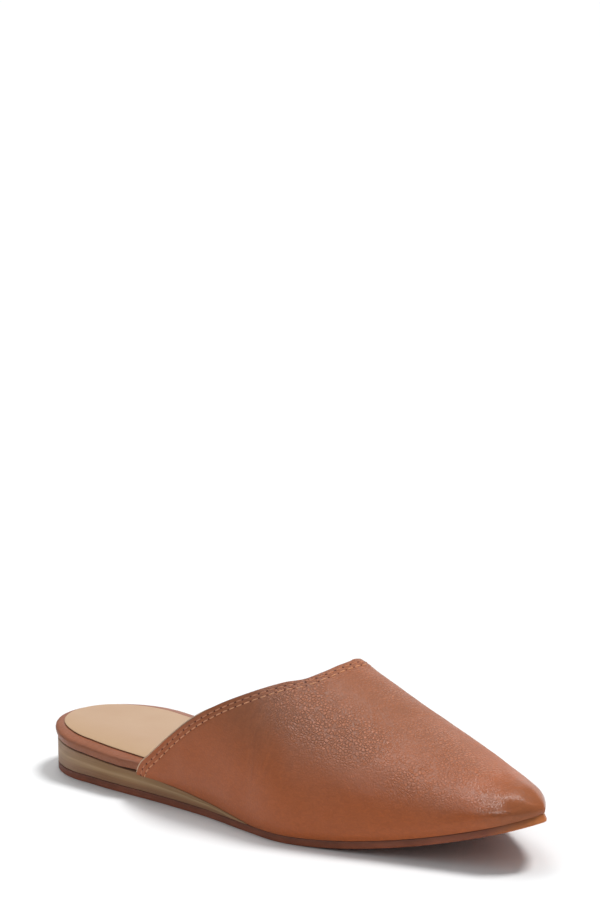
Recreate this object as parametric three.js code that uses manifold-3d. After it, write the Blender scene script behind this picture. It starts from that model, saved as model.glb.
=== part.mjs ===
// A flat, pointed, backless leather mule for the right foot. Millimetres, +Z up.
// The toe points to -Y and the outer side of the foot lies to -X. The sole stands on Z = 0,
// and the origin is the middle of the shoe's footprint.
//
// Every section is placed by "at", the distance forward from the back of the outsole's heel,
// and by "out", the distance from the centre line towards the outer side of the foot.
import * as THREE from 'three';
import { mergeVertices } from 'three/addons/utils/BufferGeometryUtils.js';
import Module from 'manifold-3d';

const wasm = await Module();
wasm.setup();

// ---- Driving sizes ----

const LENGTH = 262;       // outsole, from the back of the heel to the tip of the toe
const HEEL_ARC = 34.3;    // depth of the round back of the heel
const TOE_ARC = 12.1;     // depth of the round tip of the toe
const TREAD = 157;        // the sole lies flat on the floor back from here
const TOE_SPRING = 18.0;  // rise of the sole's underside at the tip of the toe
const OUTSOLE = 3;        // thickness of the outsole
const SOLE_FLARE = 0.6;   // how far the outsole's lower edge stands out at the toe
const GAP = 0.3;          // clearance where two pieces meet

const WALL = 1.8;         // upper: leather and lining together
const UPPER_OVER = 1;     // the upper stands this far outside the outsole's plan
const TUCK = 1.1;         // the upper's side turns in this far at its lower edge
const TUCK_HEIGHT = 5;    // and starts to turn in this far above the edge

const RIM_OVER = 1.7;     // the wrapped footbed rim stands this far outside the wedge
const RIM_ROUND = 1.4;    // rounding of the rim's edges
const INSOLE = 0.8;       // thickness of the sock lining
const INSOLE_INSET = 3.1; // its edge, in from the outsole's plan

const WEDGE_END = 130;    // the wedge heel runs out here
const BODY_STEP = 6;      // spacing of the sections along the foot
const END_STEPS = 9;      // sections round the heel, and round the tip of the toe
const ARCH_STEPS = 18;    // steps from the upper's lower edge to its crest, on each side

// Plan of the outsole: half widths each side of the centre line.
const PLAN = [
  { at: 34.3, lateral: 25.9, medial: 28.6 },
  { at: 50, lateral: 27.1, medial: 28.1 },
  { at: 80, lateral: 28.1, medial: 24.6 },
  { at: 110, lateral: 30.4, medial: 23.6 },
  { at: 135, lateral: 34.3, medial: 28.4 },
  { at: 157, lateral: 36.7, medial: 34.5 },
  { at: 183, lateral: 32.1, medial: 35.6 },
  { at: 208, lateral: 25.3, medial: 32.1 },
  { at: 232, lateral: 18.8, medial: 22.4 },
  { at: 248, lateral: 14.2, medial: 13.9 },
  { at: 262, lateral: 10.0, medial: 3.9 },
];

// Top of the wedge heel, above the floor.
const WEDGE = [
  { at: 0, top: 14.2 },
  { at: 60, top: 10.9 },
  { at: 100, top: 7.4 },
  { at: 130, top: 4.2 },
  { at: 142, top: 2.6 },
];

// Top of the insole, above the floor; forward of the tread it climbs with the toe spring.
const FOOTBED = [
  { at: 0, top: 19.9 },
  { at: 40, top: 17.1 },
  { at: 80, top: 15.2 },
  { at: 120, top: 11.6 },
  { at: 157, top: 8.6 },
  { at: 262, top: 8.0 },
];

// Crest of the upper: its height above the floor, how far it leans to the inner side,
// and how full the section is (2 is an ellipse, more is squarer).
const CREST = [
  { at: 60, height: 85.5, lean: 7.8, fullness: 2.07 },
  { at: 115, height: 73.2, lean: 7.8, fullness: 2.07 },
  { at: 135, height: 67.6, lean: 7.7, fullness: 2.07 },
  { at: 155, height: 60.9, lean: 7.2, fullness: 2.11 },
  { at: 180, height: 50.1, lean: 6.4, fullness: 2.16 },
  { at: 205, height: 41.1, lean: 4.9, fullness: 2.20 },
  { at: 230, height: 34.2, lean: 3.1, fullness: 2.25 },
  { at: 248, height: 30.2, lean: 1.7, fullness: 2.27 },
  { at: 264, height: 27.3, lean: 0.5, fullness: 2.27 },
];

// The topline seen from the side, from the sole up to the throat and on past it.
const TOPLINE = [
  { at: 69.2, height: 10.7 },
  { at: 72.7, height: 19.7 },
  { at: 84.1, height: 30.6 },
  { at: 101.1, height: 38.8 },
  { at: 118.1, height: 46.9 },
  { at: 135, height: 53.9 },
  { at: 152.5, height: 60.9 },
  { at: 170, height: 67.9 },
];

// ---- Curves of the last ----

// A smooth curve through one column of a table.
function along(table, column, at) {
  const last = table.length - 1;
  const x = THREE.MathUtils.clamp(at, table[0].at, table[last].at);
  let row = 0;
  while (row < last - 1 && x > table[row + 1].at) row += 1;
  const slope = (k) => {
    const before = table[Math.max(k - 1, 0)];
    const after = table[Math.min(k + 1, last)];
    return (after[column] - before[column]) / (after.at - before.at);
  };
  const span = table[row + 1].at - table[row].at;
  const t = (x - table[row].at) / span;
  const start = table[row][column] * (1 + 2 * t) * (1 - t) ** 2;
  const end = table[row + 1][column] * (3 - 2 * t) * t ** 2;
  const bend = slope(row) * t * (1 - t) ** 2 - slope(row + 1) * t ** 2 * (1 - t);
  return start + end + bend * span;
}

// 1 along the foot, falling to 0 round an ellipse at the heel and at the tip of the toe.
function endRound(at, grow) {
  const heel = Math.max(0, (HEEL_ARC - at) / (HEEL_ARC + grow));
  const toe = Math.max(0, (at - LENGTH + TOE_ARC) / (TOE_ARC + grow));
  return Math.sqrt(Math.max(0, 1 - heel ** 2)) * Math.sqrt(Math.max(0, 1 - toe ** 2));
}

// Half width of the outsole's plan, grown outwards or inwards all round.
function halfWidth(side, at, grow) {
  return (along(PLAN, side, at) + grow) * endRound(at, grow);
}

function underside(at) {
  return TOE_SPRING * Math.max(0, (at - TREAD) / (LENGTH - TREAD)) ** 2;
}

// What the footbed and the upper rest on: the wedge, and in front of it the outsole.
function seat(at) {
  return Math.max(along(WEDGE, 'top', at), underside(at) + OUTSOLE) + GAP;
}

function insoleTop(at) {
  return along(FOOTBED, 'top', at) + underside(at);
}

// Places of the sections, closer together round the heel and the toe.
function stations(grow, from = -Infinity, to = Infinity) {
  const places = [];
  for (let step = 1; step < END_STEPS; step += 1) {
    const angle = (step / END_STEPS) ** 1.4 * Math.PI / 2;
    places.push(HEEL_ARC - (HEEL_ARC + grow) * Math.cos(angle));
    places.push(LENGTH - TOE_ARC + (TOE_ARC + grow) * Math.cos(angle));
  }
  const body = LENGTH - TOE_ARC - HEEL_ARC;
  const steps = Math.round(body / BODY_STEP);
  for (let step = 0; step <= steps; step += 1) places.push(HEEL_ARC + body * step / steps);
  const inside = places.filter((at) => at > from + 1 && at < to - 1);
  if (Number.isFinite(from)) inside.push(from);
  if (Number.isFinite(to)) inside.push(to);
  return inside.sort((a, b) => a - b);
}

// ---- Solids ----

const MIDDLE = (LENGTH + UPPER_OVER - RIM_OVER) / 2;  // half way from heel to toe
const SIDE = 0.26;                                    // half way from side to side

function place(at, out, height) {
  return new THREE.Vector3(SIDE - out, MIDDLE - at, height);
}

function toSolid(geometry) {
  const bare = geometry.clone();
  bare.deleteAttribute('normal');
  bare.deleteAttribute('uv');
  const merged = mergeVertices(bare, 1e-5);
  return new wasm.Manifold(new wasm.Mesh({
    numProp: 3,
    vertProperties: new Float32Array(merged.attributes.position.array),
    triVerts: new Uint32Array(merged.index.array),
  }));
}

function toGeometry(solid) {
  const mesh = solid.getMesh();
  const geometry = new THREE.BufferGeometry();
  geometry.setAttribute('position', new THREE.BufferAttribute(mesh.vertProperties, 3));
  geometry.setIndex(new THREE.BufferAttribute(mesh.triVerts, 1));
  geometry.computeVertexNormals();
  return geometry;
}

// A closed body through sections from heel to toe, each a ring of points that starts at the
// lower outer edge, climbs over the top to the inner side and returns underneath.
function loft(sections) {
  const count = sections[0].length;
  const points = sections.flat();
  const faces = [];
  for (let row = 0; row + 1 < sections.length; row += 1) {
    for (let k = 0; k < count; k += 1) {
      const a = row * count + k;
      const b = row * count + (k + 1) % count;
      faces.push(a, a + count, b, b, a + count, b + count);
    }
  }
  const cap = (first, turned) => {
    const ring = points.slice(first, first + count);
    const middle = ring.reduce((sum, p) => sum.add(p), new THREE.Vector3()).divideScalar(count);
    points.push(middle);
    for (let k = 0; k < count; k += 1) {
      const edge = [first + k, first + (k + 1) % count];
      if (turned) edge.reverse();
      faces.push(...edge, points.length - 1);
    }
  };
  const body = count * sections.length;
  cap(0, false);
  cap(body - count, true);
  const geometry = new THREE.BufferGeometry();
  geometry.setAttribute('position', new THREE.Float32BufferAttribute(points.flatMap((p) => p.toArray()), 3));
  geometry.setIndex(faces);
  return geometry;
}

// A layer of the sole. Each half section is a list of edge points, lowest first, with "in" the
// distance in from the grown plan and "height" the height above the floor.
function layer(grow, from, to, edge) {
  return loft(stations(grow, from, to).map((at) => {
    const profile = edge(at);
    const side = (name, sign) => profile.map(({ inward, height }) => {
      const half = Math.max(0.2, halfWidth(name, at, grow) - inward * endRound(at, grow));
      return place(at, sign * half, height);
    });
    return [...side('lateral', 1), ...side('medial', -1).reverse()];
  }));
}

// The form of the upper, moved inwards by "inset" and reaching "drop" below its lower edge.
function upperForm(inset, drop, from) {
  const grow = UPPER_OVER - inset;
  return loft(stations(grow, from).map((at) => {
    const floor = seat(at);
    const round = endRound(Math.max(at, HEEL_ARC), grow);
    const rise = (along(CREST, 'height', at) - inset - floor) * round;
    const lean = along(CREST, 'lean', at) * endRound(at, grow);
    const power = 2 / along(CREST, 'fullness', at);
    const side = (name, sign) => {
      const reach = halfWidth(name, at, grow) + sign * lean;
      const ring = [];
      for (let step = 0; step <= ARCH_STEPS; step += 1) {
        const angle = step / ARCH_STEPS * Math.PI / 2;
        const height = rise * Math.sin(angle) ** power;
        const tuck = TUCK * round * Math.max(0, 1 - height / TUCK_HEIGHT) ** 2;
        const out = sign * reach * Math.cos(angle) ** power - lean - sign * tuck;
        ring.push(place(at, out, floor + height));
      }
      const foot = ring[0].clone().setZ(floor - drop);
      return [foot, ...ring];
    };
    return [...side('lateral', 1), ...side('medial', -1).reverse().slice(1)];
  }));
}

// The room inside the upper's wall, carried on to the back of the heel.
function insideOfUpper() {
  return toSolid(upperForm(WALL + GAP, GAP * 2));
}

// Everything above and behind the topline, as a block across the shoe. The block is moved
// back by "back", which leaves a clearance behind the upper's edge.
function toplineCutter(back) {
  const top = 120;
  const behind = -20;
  const first = TOPLINE[0].at;
  const last = TOPLINE[TOPLINE.length - 1].at;
  const outline = [[behind, -10], [first, -10]];
  const steps = 48;
  for (let step = 0; step <= steps; step += 1) {
    const at = first + (last - first) * (step / steps) ** 1.3;
    outline.push([at, along(TOPLINE, 'height', at)]);
  }
  outline.push([last, top], [behind, top]);
  const points = outline.map(([at, height]) => new THREE.Vector2(MIDDLE - at + back, height));
  const width = 120;
  const block = new THREE.ExtrudeGeometry(new THREE.Shape(points), {
    depth: width, bevelEnabled: false, steps: 1,
  });
  block.applyMatrix4(new THREE.Matrix4().makeBasis(
    new THREE.Vector3(0, 1, 0), new THREE.Vector3(0, 0, 1), new THREE.Vector3(1, 0, 0),
  ));
  block.translate(-width / 2, 0, 0);
  return toSolid(block);
}

// ---- Pieces ----

// Rubber outsole: one even layer, flat to the ball of the foot and sprung at the toe.
function makeOutsole() {
  return layer(0, undefined, undefined, (at) => {
    const low = underside(at);
    const toe = THREE.MathUtils.smoothstep(at, TREAD, LENGTH);
    return [
      { inward: 0.4 - SOLE_FLARE * toe, height: low },
      { inward: -SOLE_FLARE * toe, height: low + 0.5 },
      { inward: 0, height: low + OUTSOLE },
    ];
  });
}

// Wedge heel: full height at the back, running out under the waist of the foot.
function makeWedge() {
  return layer(0, undefined, WEDGE_END, (at) => [
    { inward: 0, height: OUTSOLE + GAP },
    { inward: 0, height: along(WEDGE, 'top', at) },
  ]);
}

// Wrapped footbed: a round-edged rim that overhangs the wedge behind the topline, and a
// narrower board inside the upper in front of it.
function makeFootbed() {
  const top = (at) => insoleTop(at) - INSOLE - GAP;
  const rim = toSolid(layer(RIM_OVER, undefined, TOPLINE[1].at + 10, (at) => [
    { inward: RIM_ROUND, height: seat(at) },
    { inward: RIM_ROUND * 0.3, height: seat(at) + RIM_ROUND * 0.3 },
    { inward: 0, height: seat(at) + RIM_ROUND },
    { inward: 0, height: top(at) - RIM_ROUND },
    { inward: RIM_ROUND * 0.3, height: top(at) - RIM_ROUND * 0.3 },
    { inward: RIM_ROUND, height: top(at) },
  ]));
  const board = toSolid(layer(0, 40, undefined, (at) => [
    { inward: 0, height: seat(at) },
    { inward: 0, height: top(at) },
  ]));
  const behind = rim.intersect(toplineCutter(GAP * 1.5));
  return toGeometry(behind.add(board.intersect(insideOfUpper())));
}

// Sock lining: a thin sheet on the footbed.
function makeInsole() {
  const sheet = toSolid(layer(-INSOLE_INSET, undefined, undefined, (at) => [
    { inward: 0, height: insoleTop(at) - INSOLE },
    { inward: 0, height: insoleTop(at) },
  ]));
  return toGeometry(sheet.intersect(insideOfUpper()));
}

// One-piece vamp: a wall between two forms, open underneath and cut off along the topline.
function makeUpper() {
  const outer = toSolid(upperForm(0, 0, 60));
  const inner = toSolid(upperForm(WALL, 6, 55));
  return toGeometry(outer.subtract(inner).subtract(toplineCutter(0)));
}

// ---- The shoe ----

const PIECES = [
  { name: 'outsole', make: makeOutsole, colour: 0x5a3d2a, roughness: 0.6 },
  { name: 'heel_wedge', make: makeWedge, colour: 0x7d6650, roughness: 0.6 },
  { name: 'footbed', make: makeFootbed, colour: 0x97593c, roughness: 0.5 },
  { name: 'insole', make: makeInsole, colour: 0xdcbe9b, roughness: 0.6 },
  { name: 'upper', make: makeUpper, colour: 0x9d5f42, roughness: 0.5 },
];

const mule = new THREE.Group();
for (const { name, make, colour, roughness } of PIECES) {
  const material = new THREE.MeshStandardMaterial({ color: colour, roughness, metalness: 0 });
  const mesh = new THREE.Mesh(make(), material);
  mesh.name = name;
  mule.add(mesh);
}

export default mule;
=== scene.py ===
import bisect
import math

import bmesh
import bpy
from mathutils import Matrix, Quaternion, Vector, noise
from mathutils.bvhtree import BVHTree
from mathutils.geometry import intersect_point_line
from mathutils.kdtree import KDTree


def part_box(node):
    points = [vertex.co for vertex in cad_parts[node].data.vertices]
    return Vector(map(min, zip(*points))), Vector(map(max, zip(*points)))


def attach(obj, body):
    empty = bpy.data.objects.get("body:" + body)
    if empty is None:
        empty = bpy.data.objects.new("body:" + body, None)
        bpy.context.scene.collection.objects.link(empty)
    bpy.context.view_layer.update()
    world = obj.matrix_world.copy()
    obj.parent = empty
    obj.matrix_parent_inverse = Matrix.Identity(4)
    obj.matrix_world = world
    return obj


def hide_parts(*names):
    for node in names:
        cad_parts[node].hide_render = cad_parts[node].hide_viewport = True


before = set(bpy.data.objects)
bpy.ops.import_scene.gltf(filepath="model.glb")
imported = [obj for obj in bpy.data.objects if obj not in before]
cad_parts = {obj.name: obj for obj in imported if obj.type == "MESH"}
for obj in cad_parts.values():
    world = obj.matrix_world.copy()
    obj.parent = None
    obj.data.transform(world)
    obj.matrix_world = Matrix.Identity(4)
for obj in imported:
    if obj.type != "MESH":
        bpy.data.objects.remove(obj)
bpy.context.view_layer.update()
MM = 0.001


# ---------------------------------------------------------------------------
# Camera: a long lens on a low stand, in front of the shoe's outer side and a
# little above it. The shoe stands low in an upright picture.
# ---------------------------------------------------------------------------
TURN = math.radians(46.85)  # round from the outer side towards the toe
RISE = math.radians(16.1)
DISTANCE = 1.984
ROLL = math.radians(3.1)
LENS = 199.3
AIM = Vector((0.0539, 0.0461, 0.1230))  # a place in the air above the shoe

shoe_middle = Vector((0, 0, 15 * MM))
eye = shoe_middle + DISTANCE * Vector((
    -math.cos(TURN) * math.cos(RISE),
    -math.sin(TURN) * math.cos(RISE),
    math.sin(RISE),
))
camera = bpy.data.objects.new("camera", bpy.data.cameras.new("camera"))
camera.data.lens = LENS
camera.data.sensor_width = 36
camera.location = eye
camera.rotation_mode = "QUATERNION"
level = (AIM - eye).to_track_quat("-Z", "Y")
camera.rotation_quaternion = level @ Quaternion((0, 0, 1), -ROLL)
bpy.context.collection.objects.link(camera)
bpy.context.scene.camera = camera
bpy.context.scene.view_settings.view_transform = "Standard"


# ---------------------------------------------------------------------------
# Studio: a pale room and two broad suns give the light and the soft shadow.
# Four area lamps show only as gleams in the leather, and strip_front draws the
# one along the toe.
# ---------------------------------------------------------------------------
def softbox(name, position, width, depth, watts, roll=0.0):
    """A lamp aimed at the shoe that shows only as a gleam."""
    lamp = bpy.data.lights.new(name, "AREA")
    lamp.shape = "RECTANGLE"
    lamp.size = width
    lamp.size_y = depth
    lamp.energy = watts
    box = bpy.data.objects.new(name, lamp)
    box.location = position
    box.rotation_mode = "QUATERNION"
    level = (shoe_middle - box.location).to_track_quat("-Z", "Y")
    box.rotation_quaternion = level @ Quaternion((0, 0, 1), math.radians(roll))
    box.visible_diffuse = False
    bpy.context.collection.objects.link(box)


def sky_light(name, azimuth, elevation, spread, strength):
    """An even light from far away. Azimuth 0 is +X and 90 is +Y."""
    lamp = bpy.data.lights.new(name, "SUN")
    lamp.angle = math.radians(spread)
    lamp.energy = strength
    turn, rise = math.radians(azimuth), math.radians(elevation)
    source = Vector((
        math.cos(turn) * math.cos(rise),
        math.sin(turn) * math.cos(rise),
        math.sin(rise),
    ))
    sun = bpy.data.objects.new(name, lamp)
    sun.rotation_mode = "QUATERNION"
    sun.rotation_quaternion = (-source).to_track_quat("-Z", "Y")
    sun.visible_glossy = False  # it is too broad to gleam
    bpy.context.collection.objects.link(sun)


sky_light("light_above", -24, 63, 18, 2.3)
sky_light("light_behind", 55, 66, 28, 0.75)
softbox("softbox_left", Vector((-0.98, 0.93, 2.05)), 1.1, 0.34, 25)
softbox("strip_front", Vector((-1.43, 0.01, 1.08)), 1.0, 0.07, 10, roll=23)
softbox("strip_above_toe", Vector((0.18, 0.37, 2.1)), 1.5, 0.12, 25)
softbox("backdrop", Vector((1.6, 1.0, 0.62)), 1.6, 0.7, 4)

room = bpy.data.worlds.new("white_room")
room.use_nodes = True
room.node_tree.nodes["Background"].inputs["Color"].default_value = (0.92, 0.97, 1, 1)
room.node_tree.nodes["Background"].inputs["Strength"].default_value = 0.4
bpy.context.scene.world = room


# ---------------------------------------------------------------------------
# Floor: a broad sheet of white paper that the shoe stands on. It belongs to
# the studio and not to the shoe.
# ---------------------------------------------------------------------------
def shader_node(tree, kind, settings=None, **sockets):
    """Adds a node. A socket goes by its name, or by its number as i0, i1 and so on. One that
    is given another node's output is linked to it."""
    made = tree.nodes.new(kind)
    for name, value in (settings or {}).items():
        setattr(made, name, value)
    for name, value in sockets.items():
        by_number = name[1:].isdigit()
        socket = made.inputs[int(name[1:]) if by_number else name.replace("_", " ")]
        if isinstance(value, bpy.types.NodeSocket):
            tree.links.new(value, socket)
        else:
            socket.default_value = value
    return made


def new_material(name, **values):
    """A material with one Principled shader, its own values set on its sockets."""
    material = bpy.data.materials.new(name)
    material.use_nodes = True
    shader = material.node_tree.nodes["Principled BSDF"]
    for socket, value in values.items():
        shader.inputs[socket.replace("_", " ")].default_value = value
    return material, material.node_tree, shader


def rgb(red, green, blue):
    """A display colour from 0 to 255 as the linear colour that a shader takes."""
    def linear(value):
        value /= 255
        return value / 12.92 if value <= 0.04045 else ((value + 0.055) / 1.055) ** 2.4
    return (linear(red), linear(green), linear(blue), 1.0)


FLOOR = 24.0  # metres across
paper, _, _ = new_material("white_paper", Base_Color=(0.86, 0.86, 0.86, 1), Roughness=0.9)
sheet = bmesh.new()
bmesh.ops.create_grid(sheet, x_segments=1, y_segments=1, size=FLOOR / 2)
floor = bpy.data.objects.new("floor", bpy.data.meshes.new("floor"))
sheet.to_mesh(floor.data)
sheet.free()
floor.data.materials.append(paper)
bpy.context.collection.objects.link(floor)


# ---------------------------------------------------------------------------
# Outsole: one even layer of brown rubber, cut to the plan of the foot and
# cemented on. It lies flat back from the ball, springs up at the toe, and its
# lower edge stands out a little round the toe and the heel.
# ---------------------------------------------------------------------------
LENGTH = 262.0      # millimetres, from the back of the heel to the tip of the toe
HEEL_ARC = 34.3     # depth of the round back of the heel
TOE_ARC = 12.1      # depth of the round tip of the toe
TREAD = 157.0       # the sole lies on the floor back from here
TOE_SPRING = 18.0   # height of the underside at the tip of the toe
OUTSOLE = 3.0       # thickness
TIP_FLARE = 0.8     # how far the lower edge stands out at the tip of the toe
HEEL_FLARE = 0.55   # and at the back of the heel
TOE_CENTRE = 16.0   # the toe's edge is pushed out from a point this far behind its tip
PLAN = [  # distance from the back of the heel, half width outside, half width inside
    (34.3, 25.9, 28.6),
    (50, 27.1, 28.1),
    (80, 28.1, 24.6),
    (110, 30.4, 23.6),
    (135, 34.3, 28.4),
    (157, 36.7, 34.5),
    (183, 32.1, 35.6),
    (208, 25.3, 32.1),
    (232, 18.8, 22.4),
    (248, 14.2, 13.9),
    (262, 10.0, 3.9),
]
OUTER, INNER = 1, 2  # columns of the plan, and the two sides of the foot

sole_low, sole_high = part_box("outsole")
middle_y = (sole_low.y + sole_high.y) / 2
widest = max(row[OUTER] for row in PLAN) * MM
centre_x = sole_low.x + widest


def along(table, column, at):
    """A smooth curve through one column of a table, read at a distance from the heel."""
    last = len(table) - 1
    at = min(max(at, table[0][0]), table[last][0])
    row = 0
    while row < last - 1 and at > table[row + 1][0]:
        row += 1

    def slope(k):
        before, after = table[max(k - 1, 0)], table[min(k + 1, last)]
        return (after[column] - before[column]) / (after[0] - before[0])

    span = table[row + 1][0] - table[row][0]
    t = (at - table[row][0]) / span
    start = table[row][column] * (1 + 2 * t) * (1 - t) ** 2
    end = table[row + 1][column] * (3 - 2 * t) * t ** 2
    bend = slope(row) * t * (1 - t) ** 2 - slope(row + 1) * t ** 2 * (1 - t)
    return start + end + bend * span


def smoothstep(at, start, end):
    """0 up to the start, 1 from the end on, and a smooth climb between."""
    t = min(max((at - start) / (end - start), 0), 1)
    return t * t * (3 - 2 * t)


def end_round(at, grow):
    """1 along the foot, falling to 0 round the heel and round the tip of the toe."""
    heel = max(0, (HEEL_ARC - at) / (HEEL_ARC + grow))
    toe = max(0, (at - LENGTH + TOE_ARC) / (TOE_ARC + grow))
    return math.sqrt(max(0, 1 - heel ** 2)) * math.sqrt(max(0, 1 - toe ** 2))


def half_width(side, at, grow):
    """Half the width of the plan on one side of the foot, grown by some millimetres."""
    return (along(PLAN, side, at) + grow) * end_round(at, grow)


def underside(at):
    """Height of the sole's underside, which leaves the floor at the tread."""
    return TOE_SPRING * max(0, (at - TREAD) / (LENGTH - TREAD)) ** 2


def place(at, out, height):
    """A point of the shoe in metres. "out" is towards the outer side of the foot."""
    return Vector((centre_x - out * MM, middle_y + (LENGTH / 2 - at) * MM, height * MM))


def from_heel(point):
    """How far a point lies from the back of the heel, in millimetres."""
    return (middle_y - point.y) / MM + LENGTH / 2


def outline(grow, stop=None):
    """The plan as a ring of (at, out) points, from the heel up the outer side and back. With
    a stop, the ring ends there in a straight edge and has no toe."""
    body_step, arc_steps = 3.0, 22
    end = LENGTH - TOE_ARC if stop is None else stop
    count = round((end - HEEL_ARC) / body_step)
    sweeps = [math.pi / 2 * k / arc_steps for k in range(1, arc_steps)]
    ats = [HEEL_ARC - (HEEL_ARC + grow) * math.cos(sweep) for sweep in sweeps]
    ats += [HEEL_ARC + (end - HEEL_ARC) * k / count for k in range(count + 1)]
    if stop is None:
        ats += [LENGTH - TOE_ARC + (TOE_ARC + grow) * math.sin(sweep) for sweep in sweeps]
    heel = [(-grow, 0.0)]
    tip = [(LENGTH + grow, 0.0)] if stop is None else []
    outer = [(at, half_width(OUTER, at, grow)) for at in ats]
    inner = [(at, -half_width(INNER, at, grow)) for at in reversed(ats)]
    return heel + outer + tip + inner


def build_layer(profile, stop=None):
    """A closed layer of the sole. The profile climbs from its underside to its top: each step
    says how far the plan is grown, and gives the edge's height at a place along the foot."""
    layer = bmesh.new()
    ring, rings = None, []
    for grow, height in profile:
        plan = outline(grow, stop)
        if ring is None:
            bmesh.ops.create_circle(layer, segments=len(plan), radius=1)
            layer.verts.ensure_lookup_table()
            ring = list(layer.verts)
        else:
            edges = [layer.edges.get((ring[k - 1], ring[k])) for k in range(len(ring))]
            grown = bmesh.ops.extrude_edge_only(layer, edges=edges)["geom"]
            fresh = {v for v in grown if isinstance(v, bmesh.types.BMVert)}
            ring = [next(e.other_vert(v) for e in v.link_edges if e.other_vert(v) in fresh)
                    for v in ring]
        for vert, (at, out) in zip(ring, plan):
            vert.co = place(at, out, height(at))
        rings.append(ring)
    for ring in (rings[0], rings[-1]):  # the two flat faces, split into strips across the foot
        bmesh.ops.contextual_create(layer, geom=ring)
        for k in range(1, len(ring) // 2):
            if layer.edges.get((ring[k], ring[-k])) is None:
                bmesh.ops.connect_verts(layer, verts=[ring[k], ring[-k]])
    bmesh.ops.recalc_face_normals(layer, faces=layer.faces)
    return layer


def finish_piece(name, mesh, materials, slot, *replaced, angle=40):
    """Turns a bmesh into a named, smooth-shaded piece that rides on the shoe."""
    piece = bpy.data.objects.new(name, bpy.data.meshes.new(name))
    for face in mesh.faces:
        face.smooth = True
    for edge in mesh.edges:
        edge.smooth = edge.calc_face_angle(0) < math.radians(angle)
    mesh.to_mesh(piece.data)
    mesh.free()
    for material in materials:
        piece.data.materials.append(material)
    bpy.context.collection.objects.link(piece)
    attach(piece, "root")
    if replaced:
        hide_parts(*replaced)


def push_out(mesh, amount):
    """Moves every point outwards in plan by an amount that its place along the foot and its
    height above the sole's underside give."""
    for vert in mesh.verts:
        at = from_heel(vert.co)
        middle = place(min(max(at, HEEL_ARC), LENGTH - TOE_CENTRE), 0, 0)
        outward = Vector((vert.co.x - middle.x, vert.co.y - middle.y, 0)).normalized()
        vert.co += outward * amount(at, vert.co.z / MM - underside(at)) * MM


def sole_flare(at, rise):
    """The sole and the wedge stand out a little at their lower edge, round heel and toe."""
    heel = HEEL_FLARE * (1 - smoothstep(at, 5, 40)) * min(max(1 - rise / 13, 0), 1)
    toe = TIP_FLARE * smoothstep(at, LENGTH - 34, LENGTH) * max(1 - 1.7 * rise / OUTSOLE, -0.7)
    return heel + toe


def sole_profile():
    """The outsole's edge: nearly square, its corners just broken."""
    def step(grow, rise):
        return grow, lambda at: underside(at) + rise
    return [
        step(-0.7, 0), step(-0.25, 0.08), step(0, 0.4), step(0, 1.5),
        step(0, OUTSOLE - 0.3), step(-0.3, OUTSOLE),
    ]


outsole_mesh = build_layer(sole_profile())
push_out(outsole_mesh, sole_flare)
up_edge = outsole_mesh.verts.layers.float.new("up_edge")
for vert in outsole_mesh.verts:
    vert[up_edge] = (vert.co.z / MM - underside(from_heel(vert.co))) / OUTSOLE


def attribute(tree, name):
    return shader_node(tree, "ShaderNodeAttribute", {"attribute_name": name}).outputs["Fac"]


def mix_colour(tree, share, first, second):
    """A colour that goes from the first to the second as the share goes from 0 to 1."""
    mixed = shader_node(tree, "ShaderNodeMix", {"data_type": "RGBA"}, i0=share, i6=first, i7=second)
    return mixed.outputs[2]


def scale_colour(tree, colour, amount):
    scaled = shader_node(tree, "ShaderNodeVectorMath", {"operation": "SCALE"}, i0=colour, Scale=amount)
    return scaled.outputs[0]


def add_bump(tree, shader, height, strength, distance=0.0002):
    """Lets a height, at most "distance" metres deep, catch the light on the surface."""
    bump = shader_node(tree, "ShaderNodeBump", Strength=strength, Distance=distance, Height=height)
    tree.links.new(bump.outputs[0], shader.inputs["Normal"])


rubber, tree, shader = new_material("brown_rubber", Roughness=0.55, Specular_IOR_Level=0.25)
spot = shader_node(tree, "ShaderNodeTexCoord").outputs["Object"]
mottle = shader_node(tree, "ShaderNodeTexNoise", Vector=spot, Scale=90.0, Detail=5.0, Roughness=0.6)
# The rubber is painted paler towards the tip of the toe: a painted glow standing in for light that
# shines through the thin rubber there.
toe_ward = shader_node(tree, "ShaderNodeSeparateXYZ", Vector=spot).outputs["Y"]
painted_toe_glow = shader_node(tree, "ShaderNodeMapRange", Value=toe_ward, From_Min=-0.116, From_Max=-0.134)
base = mix_colour(tree, painted_toe_glow.outputs[0], rgb(134, 74, 50), rgb(184, 110, 60))
spread = shader_node(tree, "ShaderNodeMapRange", Value=mottle.outputs["Fac"],
                     From_Min=0.3, From_Max=0.7, To_Min=0.8, To_Max=1.15)
# Painted shade: the edge is painted darker up under the overhanging upper and lighter down by the floor.
# The mottle is the rubber's own.
painted_shade_under_upper = shader_node(tree, "ShaderNodeMapRange", Value=attribute(tree, "up_edge"),
                   From_Min=0.2, From_Max=0.9, To_Min=1.15, To_Max=0.72)
lit = shader_node(tree, "ShaderNodeMath", {"operation": "MULTIPLY"},
                  i0=spread.outputs[0], i1=painted_shade_under_upper.outputs[0])
tone = scale_colour(tree, base, lit.outputs[0])
tree.links.new(tone, shader.inputs["Base Color"])
skin = shader_node(tree, "ShaderNodeTexNoise", Vector=spot, Scale=900.0, Detail=3.0)
add_bump(tree, shader, skin.outputs["Fac"], 0.25)
finish_piece("outsole_layer", outsole_mesh, [rubber], "outsole", "outsole")


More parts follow.
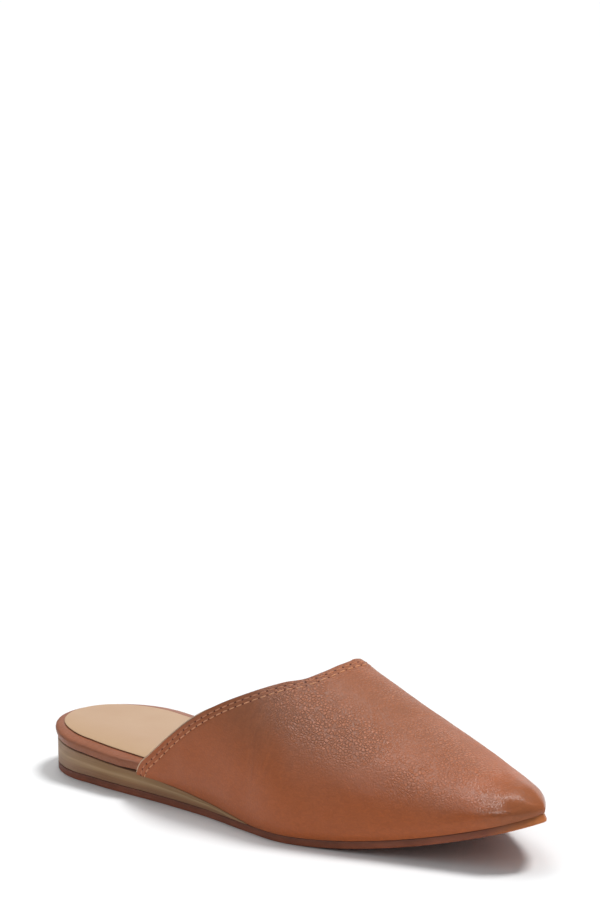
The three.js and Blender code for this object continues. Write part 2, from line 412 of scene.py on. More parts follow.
# ---------------------------------------------------------------------------
# Wedge heel: light rubber printed to look like stacked leather. It is full
# height at the back, runs out under the waist, and its side is flush with the
# outsole.
# ---------------------------------------------------------------------------
WEDGE_END = 137.0
WEDGE_LEAST = 0.12  # thickness of its front end
SEAM = 0.08         # left between it and the outsole
WEDGE = [  # distance from the back of the heel, height above the floor
    (0, 14.2),
    (25, 12.2),
    (45, 11.1),
    (60, 10.45),
    (72, 9.95),
    (86, 8.7),
    (100, 7.4),
    (130, 4.2),
    (142, 2.6),
]


def wedge_top(at):
    return along(WEDGE, 1, at)


def wedge_profile():
    """The wedge's side: upright, its corners just broken."""
    def part(grow, share):
        def height(at):
            low = OUTSOLE + SEAM
            return low + max(wedge_top(at) - low, WEDGE_LEAST) * share
        return grow, height
    return [
        part(-0.3, 0), part(0, 0.03), part(0, 0.25), part(0, 0.5),
        part(0, 0.75), part(0, 0.97), part(-0.3, 1),
    ]


wedge_mesh = build_layer(wedge_profile(), stop=WEDGE_END)
up_wedge = wedge_mesh.verts.layers.float.new("up_wedge")
for vert in wedge_mesh.verts:
    thickness = max(wedge_top(from_heel(vert.co)) - OUTSOLE, 0.5)
    vert[up_wedge] = (vert.co.z / MM - OUTSOLE) / thickness
push_out(wedge_mesh, sole_flare)

stack, tree, shader = new_material("stacked_heel", Roughness=0.6, Specular_IOR_Level=0.3)
spot = shader_node(tree, "ShaderNodeTexCoord").outputs["Object"]
stretched = shader_node(tree, "ShaderNodeMapping", Vector=spot, Scale=(9, 9, 300))
layers = shader_node(tree, "ShaderNodeTexNoise", Vector=stretched.outputs[0], Scale=1.0, Detail=3.0,
                     Roughness=0.55)
fine_map = shader_node(tree, "ShaderNodeMapping", Vector=spot, Scale=(40, 40, 2200))
fibres = shader_node(tree, "ShaderNodeTexNoise", Vector=fine_map.outputs[0], Scale=1.0, Detail=4.0)
drift = shader_node(tree, "ShaderNodeMapRange", Value=layers.outputs["Fac"], To_Min=-0.22, To_Max=0.22)
band = shader_node(tree, "ShaderNodeMath", {"operation": "ADD"},
                   i0=attribute(tree, "up_wedge"), i1=drift.outputs[0])
bands = shader_node(tree, "ShaderNodeValToRGB", Fac=band.outputs[0])
bands.color_ramp.elements[0].color = rgb(140, 98, 66)
bands.color_ramp.elements[1].color = rgb(144, 106, 72)
for position, colour in (
    (0.3, rgb(146, 104, 70)),
    (0.48, rgb(162, 126, 88)),
    (0.58, rgb(174, 140, 100)),
    (0.68, rgb(150, 114, 76)),
):
    bands.color_ramp.elements.new(position).color = colour
# The wedge turns paler towards the back of the heel.
heel_ward = shader_node(tree, "ShaderNodeSeparateXYZ", Vector=spot).outputs["Y"]
pale = shader_node(tree, "ShaderNodeMapRange", Value=heel_ward,
                   From_Min=0.085, From_Max=0.128, To_Max=0.55)
paler_to_heel = mix_colour(tree, pale.outputs[0], bands.outputs[0], rgb(184, 156, 136))
fleck = shader_node(tree, "ShaderNodeMapRange", Value=fibres.outputs["Fac"],
                    From_Min=0.3, From_Max=0.7, To_Min=0.86, To_Max=1.1)
tone = scale_colour(tree, paler_to_heel, fleck.outputs[0])
tree.links.new(tone, shader.inputs["Base Color"])
add_bump(tree, shader, fibres.outputs["Fac"], 0.2)
finish_piece("wedge_block", wedge_mesh, [stack], "heel_wedge", "heel_wedge")


# ---------------------------------------------------------------------------
# Upper leather: what the vamp, and the wrap round the footbed, are cut from.
# Tan cowhide, tumbled so that its pebble grain stands up in patches and lies
# smooth between them, with a soft waxed gleam.
# ---------------------------------------------------------------------------
PEBBLE = 1 / 0.00128  # cells to the metre


def tan_leather(name, grain, hairs, side_colour):
    """Tan leather. "grain" and "hairs" say how strongly pebbles and pull lines show: a number,
    or the name of an attribute that the piece carries. Where the pebbles stand up, painted sheen lies
    on them and painted shade in their valleys. The crown and the toe are painted a duller, pinker tan
    than the side: painted sheen, darker on the crown against the stronger light from above."""
    material, tree, shader = new_material(name, Roughness=0.4, Specular_IOR_Level=0.29)
    spot = shader_node(tree, "ShaderNodeTexCoord").outputs["Object"]

    def strength(value):
        if isinstance(value, str):
            return attribute(tree, value)
        return shader_node(tree, "ShaderNodeMapRange", Value=0.5, To_Min=value, To_Max=value).outputs[0]

    def math_node(operation, a, b):
        return shader_node(tree, "ShaderNodeMath", {"operation": operation}, i0=a, i1=b).outputs[0]

    warp = shader_node(tree, "ShaderNodeTexNoise", Vector=spot, Scale=PEBBLE / 3, Detail=2.0)
    shift = scale_colour(tree, warp.outputs["Color"], 0.0005)
    warped = shader_node(tree, "ShaderNodeVectorMath", {"operation": "ADD"}, i0=spot, i1=shift)
    cells = shader_node(tree, "ShaderNodeTexVoronoi", {"feature": "DISTANCE_TO_EDGE"},
                        Vector=warped.outputs[0], Scale=PEBBLE)
    pebbles = shader_node(tree, "ShaderNodeMapRange", {"interpolation_type": "SMOOTHSTEP"},
                          Value=cells.outputs["Distance"], From_Min=0.0, From_Max=0.32)
    pores = shader_node(tree, "ShaderNodeTexNoise", Vector=spot, Scale=2600.0, Detail=3.0)
    pulled = shader_node(tree, "ShaderNodeMapping", Vector=spot, Scale=(500, 500, 40))
    pull_lines = shader_node(tree, "ShaderNodeTexNoise", Vector=pulled.outputs[0], Scale=1.0, Detail=2.0)

    grain_amount = strength(grain)
    hair_amount = strength(hairs)
    high = math_node("MULTIPLY", pebbles.outputs[0], grain_amount)
    high = math_node("ADD", high, math_node("MULTIPLY", pores.outputs["Fac"], 0.12))
    lines = math_node("MULTIPLY", pull_lines.outputs["Fac"], hair_amount)
    high = math_node("ADD", high, math_node("MULTIPLY", lines, 0.8))
    add_bump(tree, shader, high, 0.8, 0.0003)

    patches = shader_node(tree, "ShaderNodeTexNoise", Vector=spot, Scale=28.0, Detail=3.0)
    place_on_shoe = shader_node(tree, "ShaderNodeSeparateXYZ", Vector=spot)
    # Painted sheen: the crown and the toe are painted towards a duller, pinker tan. On the crown it is
    # also darker, to offset the stronger light from above. The cloudy patches are the leather's own
    # uneven tone.
    crown = shader_node(tree, "ShaderNodeMapRange", {"interpolation_type": "SMOOTHSTEP"},
                        Value=place_on_shoe.outputs["Z"], From_Min=0.022, From_Max=0.05)
    cloudy = math_node("MULTIPLY", patches.outputs["Fac"], 0.5)
    toe = shader_node(tree, "ShaderNodeMapRange", Value=place_on_shoe.outputs["Y"],
                      From_Min=-0.11, From_Max=-0.127, To_Max=0.5)
    pale = math_node("ADD", math_node("MULTIPLY", crown.outputs[0], 0.6), toe.outputs[0])
    tone_and_painted_sheen = math_node("ADD", cloudy, pale)
    base = mix_colour(tree, tone_and_painted_sheen, side_colour, rgb(142, 83, 50))
    # Painted sheen: where the pebbles stand up they are painted a paler pink-tan, for light caught on
    # their tops.
    painted_sheen_on_grain = mix_colour(tree, math_node("MULTIPLY", grain_amount, 0.5), base, rgb(188, 122, 92))
    # Painted shade in the pebbles' valleys and a little painted light on their tops. The scuffs and pull
    # lines that join it in "shade" are the leather's own wear and grain.
    painted_pebble_shade = shader_node(tree, "ShaderNodeMapRange", Value=pebbles.outputs[0],
                         To_Min=0.74, To_Max=1.08)
    painted_pebble_shade_here = shader_node(tree, "ShaderNodeMix", {"data_type": "FLOAT"}, i0=grain_amount,
                              i2=1.0, i3=painted_pebble_shade.outputs[0])
    scuffed = shader_node(tree, "ShaderNodeMapping", Vector=spot, Scale=(160, 420, 900))
    scuffs = shader_node(tree, "ShaderNodeTexNoise", Vector=scuffed.outputs[0], Scale=1.0, Detail=5.0,
                         Distortion=1.2)
    worn = shader_node(tree, "ShaderNodeMapRange", Value=scuffs.outputs["Fac"],
                       From_Min=0.38, From_Max=0.68, To_Min=0.94, To_Max=1.09)
    shade = math_node("MULTIPLY", painted_pebble_shade_here.outputs[0], worn.outputs[0])
    uneven = math_node("SUBTRACT", lines, math_node("MULTIPLY", hair_amount, 0.5))
    shade = math_node("MULTIPLY", shade, math_node("SUBTRACT", 1.0, math_node("MULTIPLY", uneven, 0.5)))
    tree.links.new(scale_colour(tree, painted_sheen_on_grain, shade), shader.inputs["Base Color"])
    gloss = shader_node(tree, "ShaderNodeMapRange", Value=patches.outputs["Fac"],
                        From_Min=0.3, From_Max=0.7, To_Min=0.38, To_Max=0.48)
    polish = shader_node(tree, "ShaderNodeMapRange", Value=place_on_shoe.outputs["Y"],
                         From_Min=-0.09, From_Max=-0.12, To_Min=1.0, To_Max=0.62)
    polished = math_node("MULTIPLY", gloss.outputs[0], polish.outputs[0])
    tree.links.new(polished, shader.inputs["Roughness"])
    return material


# ---------------------------------------------------------------------------
# Footbed: a board with thin foam on it. Behind the topline its edge is
# wrapped in the upper's leather, which makes a plump rim that overhangs the
# wedge. Inside the upper it is a bare narrower board.
# ---------------------------------------------------------------------------
RIM_OVER = 1.4      # how far the rim stands out past the plan
RIM_GAP = 0.8       # its clearance over the wedge
HEEL_GAP = 0.45     # what the back of the heel adds to that
RIM_SHADED = 0.75   # the share of the gap in which the wrap is painted dark, as shade
RIM_END = 88.0      # it is built this long, then cut off on the topline's slant
BOARD_IN = -2.2     # inside the upper the board's edge lies this far inside the plan
BOARD_END = 246.0
FOOTBED = [  # distance from the back of the heel, top of the insole on a level sole
    (0, 19.9),
    (40, 17.1),
    (80, 15.2),
    (120, 11.6),
    (157, 8.6),
    (262, 8.0),
]
TOPLINE = [  # distance from the back of the heel, height of the topline seen from the side
    (68.3, 10.25),
    (72.5, 15.4),
    (78.5, 20.2),
    (88, 28.2),
    (100, 37.0),
    (114, 44.8),
    (130, 51.7),
    (143, 56.3),
    (150, 57.8),
    (152.6, 59.1),
    (154.5, 60.7),
    (158, 68.0),
]


def seat(at):
    """Height of the wedge or the outsole, which the footbed and the vamp stand on."""
    return max(wedge_top(at), underside(at) + OUTSOLE)


def insole_top(at):
    return along(FOOTBED, 1, at) + underside(at)


def rim_gap(at):
    """The wrap stands clear of the wedge's edge, most at the back, which leaves a dark line."""
    return RIM_GAP + HEEL_GAP * (1 - smoothstep(at, 5, 45))


def mottled(name, dark, light, scale, roughness, uneven=0.15):
    """A matt material: one colour drifts into another, and its skin is a little uneven."""
    material, tree, shader = new_material(name, Roughness=roughness, Specular_IOR_Level=0.35)
    spot = shader_node(tree, "ShaderNodeTexCoord").outputs["Object"]
    cloud = shader_node(tree, "ShaderNodeTexNoise", Vector=spot, Scale=scale, Detail=5.0)
    tree.links.new(mix_colour(tree, cloud.outputs["Fac"], dark, light), shader.inputs["Base Color"])
    skin = shader_node(tree, "ShaderNodeTexNoise", Vector=spot, Scale=1600.0, Detail=4.0)
    add_bump(tree, shader, skin.outputs["Fac"], uneven)
    return material


def rim_profile():
    """From underneath, up the nearly flat side and over to the dip where the insole lies."""
    def lower(grow, share):
        def height(at):
            low, high = seat(at) + rim_gap(at), insole_top(at) - 2.6
            return low + (high - low) * share
        return grow, height

    def upper(grow, drop):
        return grow, lambda at: insole_top(at) - drop
    return [
        (-2.6, lambda at: seat(at) + 0.05), (-0.3, lambda at: seat(at) + 0.05), lower(-0.25, 0),
        lower(0.6, 0), lower(0.85, 0.05), lower(1.05, 0.25), lower(1.25, 0.6), upper(RIM_OVER, 2.6),
        upper(RIM_OVER, 2.2), upper(1.28, 1.75), upper(0.98, 1.4), upper(0.5, 1.15), upper(-0.2, 1.0),
        upper(-1.1, 0.84), upper(-2.2, 0.66), upper(-3.6, 0.6), upper(-5.2, 0.66), upper(-5.6, 1.3),
    ]


def rim_drawn_in(at, _rise):
    """The wrap is drawn in where it goes under the upper, and round the back of the heel."""
    return -1.2 * smoothstep(at, 56, 67) - 0.85 * (1 - smoothstep(at, 3, 26))


def cut_on_slant(mesh, ahead, **cleared):
    """Cuts a layer on the topline's slant, "ahead" millimetres before it, and closes the cut."""
    start, up = TOPLINE[0], TOPLINE[1]
    slant = place(up[0], 0, up[1]) - place(start[0], 0, start[1])
    forward = slant.cross(Vector((1, 0, 0)))
    if forward.y > 0:
        forward.negate()
    bmesh.ops.bisect_plane(
        mesh, geom=mesh.verts[:] + mesh.edges[:] + mesh.faces[:],
        plane_co=place(start[0] + ahead, 0, start[1]), plane_no=forward, **cleared)
    bmesh.ops.holes_fill(mesh, edges=[e for e in mesh.edges if e.is_boundary], sides=0)
    bmesh.ops.recalc_face_normals(mesh, faces=mesh.faces)


rim_mesh = build_layer(rim_profile(), stop=RIM_END)
push_out(rim_mesh, rim_drawn_in)
cut_on_slant(rim_mesh, 1.5, clear_outer=True)
# The wrap's faces low in the gap over the wedge get a near-black material: painted shade under the rim.
for face in rim_mesh.faces:
    middle = face.calc_center_median()
    at = from_heel(middle)
    if middle.z / MM < seat(at) + RIM_SHADED * rim_gap(at):
        face.material_index = 1
wrap = tan_leather("wrap_leather", 0.12, 0.0, rgb(142, 80, 50))
rim_gap_shade = mottled("rim_gap_shade", rgb(46, 22, 14), rgb(66, 34, 22), 300.0, 0.75)
finish_piece("footbed_rim", rim_mesh, [wrap, rim_gap_shade], "footbed", "footbed")

board_material = mottled("footbed_board", rgb(184, 152, 118), rgb(206, 174, 140), 90.0, 0.8, 0.3)
board = build_layer([
    (BOARD_IN, lambda at: seat(at) + 0.3),
    (BOARD_IN, lambda at: insole_top(at) - 1.1),
], stop=BOARD_END)
cut_on_slant(board, 2.0, clear_inner=True)
finish_piece("footbed_board", board, [board_material], "footbed")


# ---------------------------------------------------------------------------
# Insole: a thin sheet of natural lining leather, cemented to the footbed just
# inside its rim.
# ---------------------------------------------------------------------------
INSOLE_IN = -3.1    # its edge lies this far inside the plan
INSOLE_END = 244.0
INNER_SHORT = 1.3   # how much further it stops short of the rim on the inner side of the heel
OUTER_SHORT = 0.6   # and along the outer side


def insole_profile():
    """A cut edge that stands in the rim's dip, and a broken corner."""
    def part(grow, lift):
        return grow, lambda at: insole_top(at) + lift
    return [
        part(INSOLE_IN, -0.62), part(INSOLE_IN, -0.1), part(INSOLE_IN - 0.1, -0.03),
        part(INSOLE_IN - 0.4, 0.0), part(INSOLE_IN - 2, 0.02),
    ]


insole_mesh = build_layer(insole_profile(), stop=INSOLE_END)
for vert in insole_mesh.verts:
    at = from_heel(vert.co)
    if vert.co.x > centre_x:
        vert.co.x -= INNER_SHORT * MM * smoothstep(at, 2, 18) * (1 - smoothstep(at, 45, 75))
    else:
        vert.co.x += OUTER_SHORT * MM * smoothstep(at, 8, 22)
for face in insole_mesh.faces:
    face.material_index = 1 if abs(face.normal.z) < 0.5 else 0

natural, tree, shader = new_material("natural_leather", Roughness=0.55, Specular_IOR_Level=0.3)
spot = shader_node(tree, "ShaderNodeTexCoord").outputs["Object"]
cloud = shader_node(tree, "ShaderNodeTexNoise", Vector=spot, Scale=34.0, Detail=5.0)
base = mix_colour(tree, cloud.outputs["Fac"], rgb(182, 146, 116), rgb(196, 166, 138))
# Painted shade: towards the outer side the insole is painted darker and yellower.
across = shader_node(tree, "ShaderNodeSeparateXYZ", Vector=spot).outputs["X"]
painted_shade_share = shader_node(tree, "ShaderNodeMapRange", Value=across,
                      From_Min=-0.004, From_Max=-0.026, To_Max=0.7)
with_painted_shade = mix_colour(tree, painted_shade_share.outputs[0], base, rgb(176, 138, 96))
tree.links.new(with_painted_shade, shader.inputs["Base Color"])
skin = shader_node(tree, "ShaderNodeTexVoronoi", Vector=spot, Scale=1500.0)
add_bump(tree, shader, skin.outputs["Distance"], 0.12)
cut_edge = mottled("insole_edge", rgb(116, 70, 48), rgb(136, 86, 60), 400.0, 0.7)
finish_piece("insole_sheet", insole_mesh, [natural, cut_edge], "insole", "insole")


# ---------------------------------------------------------------------------
# Vamp: one piece of leather pulled over the last and cemented under its edge.
# The topline is turned in and runs from the sole up to a peak at the throat.
# ---------------------------------------------------------------------------
UPPER_OVER = 1.0    # how far the vamp stands out past the plan
LEATHER = 1.1       # thickness
TUCK = 1.1          # it curls in under the last by this much
TUCK_HEIGHT = 5.0   # and begins to at this height above the sole
EDGE_LIFT = 0.12    # its lower edge stands this far clear of the sole
TOE_PRESS = 0.22    # but round the toe it is pressed down by this much
INNER_AHEAD = 2.5   # how much further forward the topline runs on the inner side
NEAR_BAND = 10.0    # width of the finer grid beside the topline
CREST = [  # distance from the back of the heel, height, lean to the inner side, fullness
    (60, 85.5, 7.8, 2.07),
    (115, 73.2, 7.8, 2.07),
    (135, 67.6, 7.7, 2.07),
    (155, 60.9, 7.2, 2.11),
    (180, 50.1, 6.4, 2.16),
    (205, 41.1, 4.9, 2.20),
    (230, 34.2, 3.1, 2.25),
    (248, 30.2, 1.7, 2.27),
    (264, 27.3, 0.5, 2.27),
]


def vamp_point(at, turn):
    """A point of the vamp. "turn" is -1 at the outer lower edge, 0 on the crest and 1 at the
    inner lower edge."""
    floor_here = seat(at) + EDGE_LIFT - TOE_PRESS * smoothstep(at, LENGTH - 26, LENGTH - 8)
    rounding = end_round(at, UPPER_OVER)
    rise = (along(CREST, 1, at) - floor_here) * rounding
    lean = along(CREST, 2, at) * rounding
    power = 2 / along(CREST, 3, at)
    angle = (1 - abs(turn)) * math.pi / 2
    sign = 1 if turn < 0 else -1
    side = OUTER if turn < 0 else INNER
    height = rise * math.sin(angle) ** power
    tuck = TUCK * max(0, 1 - height / TUCK_HEIGHT) ** 2
    reach = half_width(side, at, UPPER_OVER) + sign * lean
    out = sign * reach * math.cos(angle) ** power - lean - sign * tuck * rounding
    back = 1.5 * tuck * (1 - rounding) if at > LENGTH / 2 else 0
    settle = seat(at) - seat(at - back)
    return at - back, out, floor_here + height - settle


def topline_at(turn):
    """Where the topline crosses the vamp's line at this turn, found by halving a stretch."""
    ahead = INNER_AHEAD * smoothstep(turn, 0.15, 0.3) * (1 - smoothstep(turn, 0.5, 0.8))
    low, high = TOPLINE[0][0] - 2, TOPLINE[-1][0] + 2
    for _ in range(24):
        at = (low + high) / 2
        if vamp_point(at, turn)[2] > along(TOPLINE, 1, at - ahead):
            low = at
        else:
            high = at
    return (low + high) / 2


def vamp_sheet(rows, columns, near, proud=lambda turn: 0.0):
    """The vamp as a flat grid laid over the last. Each column runs from the topline, or as far
    behind it as "proud" says, to the tip of the toe. "near" is the finer grid's spacing."""
    near_rows = round(NEAR_BAND / near)

    def point(turn, start, travel):
        body = LENGTH - TOE_ARC - start
        if travel <= body:
            return vamp_point(start + travel, turn)
        sweep = min((travel - body) / (TOE_ARC + UPPER_OVER), math.pi / 2)
        return vamp_point(LENGTH - TOE_ARC + (TOE_ARC + UPPER_OVER) * math.sin(sweep), turn)

    sheet = bmesh.new()
    bmesh.ops.create_grid(sheet, x_segments=columns, y_segments=rows, size=0.5)
    grid = sorted(sheet.verts, key=lambda v: (round(v.co.x, 5), v.co.y))
    for column in range(columns + 1):
        turn = -1 + 2 * column / columns
        start = topline_at(turn) - proud(turn)
        total = LENGTH - TOE_ARC - start + (TOE_ARC + UPPER_OVER) * math.pi / 2
        for row in range(rows + 1):
            travel = row * near
            if row > near_rows:
                share = (row - near_rows) / (rows - near_rows)
                left = total - near_rows * near
                pace = near * (rows - near_rows)
                travel = near_rows * near + pace * share + (left - pace) * share ** 2
            grid[column * (rows + 1) + row].co = place(*point(turn, start, travel))
    bmesh.ops.remove_doubles(sheet, verts=sheet.verts, dist=1e-6)
    bmesh.ops.recalc_face_normals(sheet, faces=sheet.faces)
    crown = max(sheet.faces, key=lambda f: f.calc_center_median().z)
    if crown.normal.z < 0:
        bmesh.ops.reverse_faces(sheet, faces=sheet.faces)
    sheet.normal_update()
    return sheet


CREASES = [  # from (at, turn), to (at, turn), width in millimetres, height in millimetres
    ((186, -0.20), (219, -0.36), 8.0, -0.65),
    ((199, -0.47), (217, -0.56), 8.0, 0.60),
    ((245, -0.44), (258, -0.41), 2.8, 0.16),
    ((243, -0.59), (257, -0.57), 2.6, -0.20),
    ((240, -0.78), (256, -0.74), 2.8, 0.14),
    ((140, -0.42), (152, -0.44), 7.0, 0.40),
    ((184, -0.12), (193, 0.04), 6.0, -0.35),
    ((150, -0.60), (166, -0.68), 9.0, -0.40),
    ((98, -0.90), (128, -0.93), 6.0, 0.30),
    ((210, -0.05), (232, -0.12), 7.0, 0.35),
    ((154.3, 0.08), (154.5, 0.13), 3.4, 2.0),
    ((176, -0.60), (196, -0.72), 8.0, 0.25),
]
EDGE_RISE = 0.35    # the topline is turned in, which makes it plump
STITCH_ROWS = (2.0, 3.9)  # distance of each row of stitches from the topline
CHANNEL = 0.16      # the stitching pulls the leather in
TOPLINE_STEPS = 400


def on_last(at, turn):
    return place(*vamp_point(at, turn))


turns = [-1 + 2 * k / TOPLINE_STEPS for k in range(TOPLINE_STEPS + 1)]
topline = [on_last(topline_at(turn), turn) for turn in turns]
runs = [0.0]  # the distance along the topline to each of its points
for before, after in zip(topline, topline[1:]):
    runs.append(runs[-1] + (after - before).length / MM)
topline_tree = KDTree(len(topline))
for k, point in enumerate(topline):
    topline_tree.insert(point, k)
topline_tree.balance()


def from_topline(point):
    """Distance from the topline in millimetres."""
    _, k, _ = topline_tree.find(point)
    best = 1.0  # a metre, further than any
    for j in (k - 1, k):
        if 0 <= j < len(topline) - 1:
            _, share = intersect_point_line(point, topline[j], topline[j + 1])
            share = min(max(share, 0), 1)
            best = min(best, (topline[j].lerp(topline[j + 1], share) - point).length)
    return best / MM


def near_line(point, start, end):
    """A point's distance from a stretch of line in millimetres."""
    _, share = intersect_point_line(point, start, end)
    return (start.lerp(end, min(max(share, 0), 1)) - point).length / MM


creases = [(on_last(*start), on_last(*end), width, height) for start, end, width, height in CREASES]


def shape_vamp(sheet):
    """Works the creases, the plump edge and the stitching channels into the leather."""
    moves = []
    for vert in sheet.verts:
        rise = 0.0
        for start, end, width, height in creases:
            rise += height * math.exp(-(near_line(vert.co, start, end) / width) ** 2)
        rise += 0.10 * noise.noise(vert.co * 90) + 0.05 * noise.noise(vert.co * 260)
        edge = from_topline(vert.co)
        at = from_heel(vert.co)
        above = vert.co.z / MM - seat(at) - 0.3
        if edge < 12:
            rise *= smoothstep(edge, 0, 12) * 0.7 + 0.3
            rise += EDGE_RISE * (1 - smoothstep(edge, STITCH_ROWS[1] - 1, STITCH_ROWS[1] + 5))
            for row in STITCH_ROWS:
                rise -= CHANNEL * math.exp(-((edge - row) / 0.55) ** 2)
        rise *= 1 - (1 - smoothstep(above, 0.2, 5)) * smoothstep(edge, 6, 14)
        if edge < 30:  # the tail of the vamp laps over the footbed's rim
            rise += 0.9 * (1 - smoothstep(at, 68, 92))
        moves.append(vert.normal * rise * MM)
    for vert, move in zip(sheet.verts, moves):
        vert.co += move
    sheet.normal_update()


def thicken(sheet, thickness):
    """Gives an open sheet its thickness, inwards, and closes it round its edge."""
    inward = sheet.verts.layers.float_vector.new("inward")
    for vert in sheet.verts:
        vert[inward] = -vert.normal
    grown = bmesh.ops.extrude_face_region(sheet, geom=sheet.faces[:], use_keep_orig=True)["geom"]
    for vert in grown:
        if isinstance(vert, bmesh.types.BMVert):
            vert.co += vert[inward] * thickness * MM
    sheet.verts.layers.float_vector.remove(inward)
    bmesh.ops.recalc_face_normals(sheet, faces=sheet.faces)


GRAINED = [  # at, turn, reach in millimetres, how strongly the pebbles stand up there, which also sets their painted sheen and painted shade
    (146, -0.40, 9, 0.9),
    (157, -0.41, 10, 1.0),
    (168, -0.42, 10, 1.0),
    (180, -0.40, 10, 1.0),
    (190, -0.37, 9, 0.8),
    (152, -0.22, 8, 0.7),
    (160, 0.02, 8, 0.6),
    (176, 0.05, 8, 0.5),
    (196, -0.03, 9, 0.5),
    (208, -0.02, 9, 0.6),
    (220, -0.07, 9, 0.65),
    (232, -0.12, 8, 0.6),
    (210, -0.48, 9, 0.6),
    (224, -0.48, 8, 0.35),
    (244, -0.44, 6, 0.2),
    (176, 0.40, 22, 0.7),
    (215, 0.45, 18, 0.6),
    (130, 0.60, 20, 0.5),
]
HAIRY = [  # at, turn, reach, how strongly fine lines are pulled up and down the side there
    (139, -0.52, 9, 0.9),
    (141, -0.64, 9, 1.0),
    (143, -0.76, 9, 0.7),
    (160, -0.72, 10, 0.5),
]

vamp_mesh = vamp_sheet(rows=135, columns=230, near=0.5)
shape_vamp(vamp_mesh)
vamp_skin = BVHTree.FromBMesh(vamp_mesh)
for name, patches, least in (("grain", GRAINED, 0.1), ("hairs", HAIRY, 0.0)):
    amount = vamp_mesh.verts.layers.float.new(name)
    spots = [(on_last(at, turn), reach, strength) for at, turn, reach, strength in patches]
    for vert in vamp_mesh.verts:
        total = least
        for spot, reach, strength in spots:
            total += strength * math.exp(-((vert.co - spot).length / MM / reach) ** 2)
        vert[amount] = min(total, 1.1)
thicken(vamp_mesh, LEATHER)
brim = [e for e in vamp_mesh.edges
        if all(from_topline(v.co) < 0.7 for v in e.verts) and e.calc_face_angle(0) > 1.0]
bmesh.ops.bevel(vamp_mesh, geom=brim, offset=0.3 * MM, offset_type="OFFSET", segments=2,
                profile=0.5, affect="EDGES", material=-1, clamp_overlap=True)
for face in vamp_mesh.faces:  # the topline's edge is darker than the grain side
    middle = face.calc_center_median()
    edge, depth = from_topline(middle), vamp_skin.find_nearest(middle)[3] / MM
    if edge < 0.4 or (edge < 1.5 and depth > 0.15):
        face.material_index = 1

vamp_leather = tan_leather("vamp_leather", "grain", "hairs", rgb(178, 87, 31))
edge_leather = mottled("leather_edge", rgb(84, 42, 27), rgb(108, 58, 38), 400.0, 0.6)
finish_piece("vamp", vamp_mesh, [vamp_leather, edge_leather], "upper", "upper", angle=50)


# ---------------------------------------------------------------------------
# Lining: thin pale leather inside the vamp. Its cut edge shows as a fine pale
# line along the topline, widest down by the sole.
# ---------------------------------------------------------------------------
LINING = 0.55       # thickness
GLUE = 0.04         # between it and the leather


def lining_proud(turn):
    """How far it shows past the leather along the topline."""
    return 0.3 + 0.9 * smoothstep(abs(turn), 0.58, 0.7) + 0.3 * smoothstep(abs(turn), 0.85, 0.98)


lining_mesh = vamp_sheet(rows=60, columns=120, near=1.0, proud=lining_proud)
shape_vamp(lining_mesh)
for vert in lining_mesh.verts:
    vert.co -= vert.normal * (LEATHER + GLUE) * MM
lining_mesh.normal_update()
thicken(lining_mesh, LINING)
for vert in lining_mesh.verts:  # round the toe its lower edge is pressed down on the sole
    at = from_heel(vert.co)
    above = vert.co.z / MM - seat(at)
    vert.co.z -= smoothstep(at, LENGTH - 40, LENGTH - 26) * max(1 - above / 4, 0) * MM
lining_leather = mottled("lining_leather", rgb(206, 168, 136), rgb(222, 190, 160), 60.0, 0.65)
finish_piece("lining", lining_mesh, [lining_leather], "upper", angle=60)


# ---------------------------------------------------------------------------
# Topline stitching: two rows of waxed thread, the front one paler. Each stitch
# dips into a punched hole at both ends, and the shade in each hole is painted
# as a small dark bead.
# ---------------------------------------------------------------------------
PITCH = 3.9         # from stitch to stitch
SHOWN = 0.74        # the share of it that the thread shows for
THREAD_WIDTH = 0.58
THREAD_HEIGHT = 0.28
HOLE_HEIGHT = 0.09
FIRST_STITCH = 1.6
LAST_CLEAR = 1.2    # left free at the far end of a row


def on_topline(run):
    """The point and the direction of the topline at a distance along it."""
    k = min(max(bisect.bisect(runs, run) - 1, 0), len(topline) - 2)
    share = (run - runs[k]) / (runs[k + 1] - runs[k])
    ahead, behind = min(k + 4, len(topline) - 1), max(k - 3, 0)
    return topline[k].lerp(topline[k + 1], share), (topline[ahead] - topline[behind]).normalized()


def on_row(run, inset):
    """A point of the leather beside the topline, and the leather's normal there."""
    point, direction = on_topline(run)
    normal = vamp_skin.find_nearest(point)[1]
    across = direction.cross(normal).normalized()
    if across.y > 0:
        across.negate()
    beside = point + across * inset * MM
    location, normal, _, _ = vamp_skin.find_nearest(beside)
    return location, normal


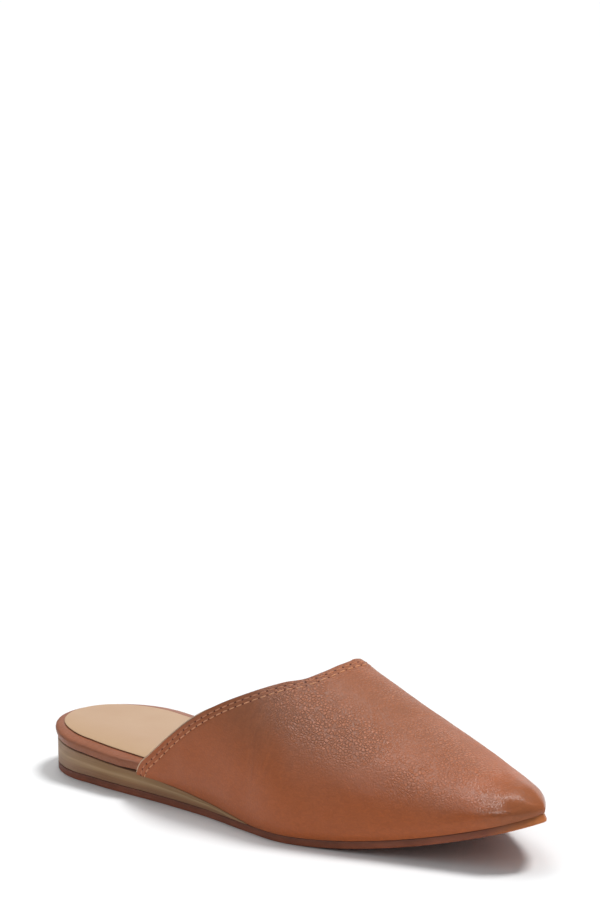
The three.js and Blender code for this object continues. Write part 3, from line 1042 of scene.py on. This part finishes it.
def add_bead(mesh, centre, direction, normal, length, width, height):
    """A smooth bead that lies along a direction, half sunk in the leather."""
    along_axis = (direction - normal * direction.dot(normal)).normalized()
    turn = Matrix((along_axis.cross(normal), normal, along_axis)).transposed().to_4x4()
    size = Matrix.Diagonal((width / 2, height, length / 2, 1))
    bmesh.ops.create_uvsphere(mesh, u_segments=8, v_segments=7, radius=MM,
                              matrix=Matrix.Translation(centre) @ turn @ size)


def thread_material(name, colour):
    """Waxed thread, its plies a little lighter and darker along the twist."""
    material, tree, shader = new_material(name, Roughness=0.5)
    spot = shader_node(tree, "ShaderNodeTexCoord").outputs["Object"]
    twist = shader_node(tree, "ShaderNodeTexNoise", Vector=spot, Scale=3000.0, Detail=2.0)
    ply = shader_node(tree, "ShaderNodeMapRange", Value=twist.outputs["Fac"], To_Min=0.75, To_Max=1.2)
    tone = scale_colour(tree, colour[:3], ply.outputs[0])
    tree.links.new(tone, shader.inputs["Base Color"])
    add_bump(tree, shader, twist.outputs["Fac"], 0.3, 0.0001)
    return material


# The holes are small dark beads: painted shade inside each punched hole.
hole_shade = mottled("stitch_hole", rgb(78, 34, 22), rgb(98, 46, 30), 900.0, 0.9)
holes = bmesh.new()
for name, inset, colour, hole_width in (
    ("stitches_edge", STITCH_ROWS[0], rgb(196, 126, 88), 0.95),
    ("stitches_front", STITCH_ROWS[1], rgb(214, 148, 106), 0.75),
):
    threads = bmesh.new()
    run = FIRST_STITCH
    while run + PITCH < runs[-1] - LAST_CLEAR:
        start, normal = on_row(run, inset)
        middle, middle_normal = on_row(run + PITCH / 2, inset)
        end, _ = on_row(run + PITCH, inset)
        add_bead(threads, middle, end - start, middle_normal,
                 PITCH * SHOWN, THREAD_WIDTH, THREAD_HEIGHT)
        add_bead(holes, start, end - start, normal, hole_width, hole_width, HOLE_HEIGHT)
        run += PITCH
    finish_piece(name, threads, [thread_material(name, colour)], "upper", angle=180)
finish_piece("stitch_holes", holes, [hole_shade], "upper", angle=180)
